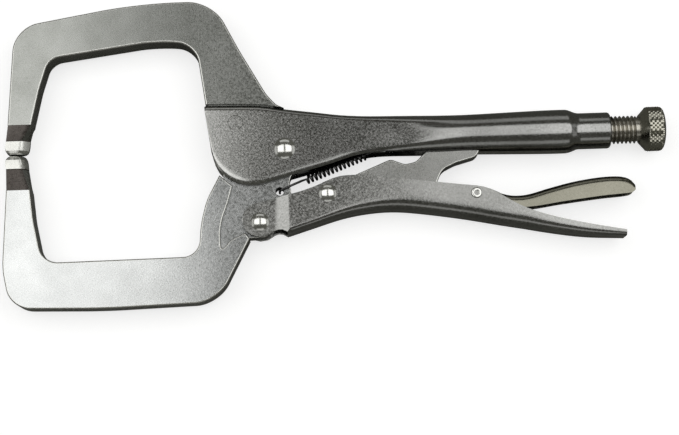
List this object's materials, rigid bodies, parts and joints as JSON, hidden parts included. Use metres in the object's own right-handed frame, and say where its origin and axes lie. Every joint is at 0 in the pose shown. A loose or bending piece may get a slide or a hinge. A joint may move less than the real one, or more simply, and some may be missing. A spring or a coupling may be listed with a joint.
{
  "type": "locking c clamp",
  "caption": "Locking C clamp with two hooked forged jaws, a pressed channel handle with a toggle link inside, an adjusting screw with a knurled knob and a release lever.",
  "frame": {"origin": "middle of the closed jaw tips, on the clamp's middle plane", "axes": "+X along the adjusting screw towards its knob, +Y from the moving jaw to the fixed jaw, +Z across the flat of the clamp"},
  "size_m": [0.2801, 0.1305, 0.0192],
  "materials": {
    "forged_steel": "satin, fine grain, nickel plated",
    "plated_sheet": "bright nickel plate",
    "link_steel": "satin nickel plate",
    "rivet_steel": "polished",
    "pin_steel": "ground flush",
    "screw_steel": "dull nickel plate",
    "spring_wire": "dark oiled wire"
  },
  "bodies": {
    "upper_body": {"upper_handle": "plated_sheet", "fixed_jaw": "forged_steel", "fixed_jaw_pin": "pin_steel", "pivot_rivet": "rivet_steel", "return_spring": "spring_wire"},
    "jaw_body": {"movable_jaw": "forged_steel"},
    "lower_body": {"lower_handle": "plated_sheet", "jaw_rivet": "rivet_steel", "link_rivet": "rivet_steel", "lever_pin": "rivet_steel"},
    "link_body": {"toggle_link": "link_steel"},
    "lever_body": {"release_lever": "plated_sheet"},
    "screw_body": {"adjusting_screw": "screw_steel"},
    "knob_body": {"screw_knob": "screw_steel"}
  },
  "joints": [
    {"name": "jaw_open", "type": "hinge", "parent": "upper_body", "child": "jaw_body", "pos_m": [0.113, -0.0014, 0], "axis": [0, 0, 1], "range_deg": [0, 30], "deforming": ["return_spring"]},
    {"name": "handle_swing", "type": "hinge", "parent": "jaw_body", "child": "lower_body", "pos_m": [0.1018, -0.0323, 0], "axis": [0, 0, 1], "range_deg": [-77, 0]},
    {"name": "link_swing", "type": "hinge", "parent": "lower_body", "child": "link_body", "pos_m": [0.1305, -0.0212, 0], "axis": [0, 0, 1], "range_deg": [0, 74]},
    {"name": "release_press", "type": "hinge", "parent": "lower_body", "child": "lever_body", "pos_m": [0.1928, -0.0232, 0], "axis": [0, 0, -1], "range_deg": [0, 9]},
    {"name": "screw_slide", "type": "slide", "parent": "upper_body", "child": "screw_body", "axis": [1, 0, 0], "range_m": [0, 0.014]},
    {"name": "knob_turn", "type": "hinge", "parent": "screw_body", "child": "knob_body", "pos_m": [0.264, 0.0032, 0], "axis": [1, 0, 0], "range_deg": [0, 2880]}
  ],
  "couplings": [
    {"joint": "handle_swing", "follows": "jaw_open", "ratio": -2.55},
    {"joint": "link_swing", "follows": "jaw_open", "ratio": 2.45},
    {"joint": "knob_turn", "follows": "screw_slide", "rad_per_m": 3590.4}
  ]
}
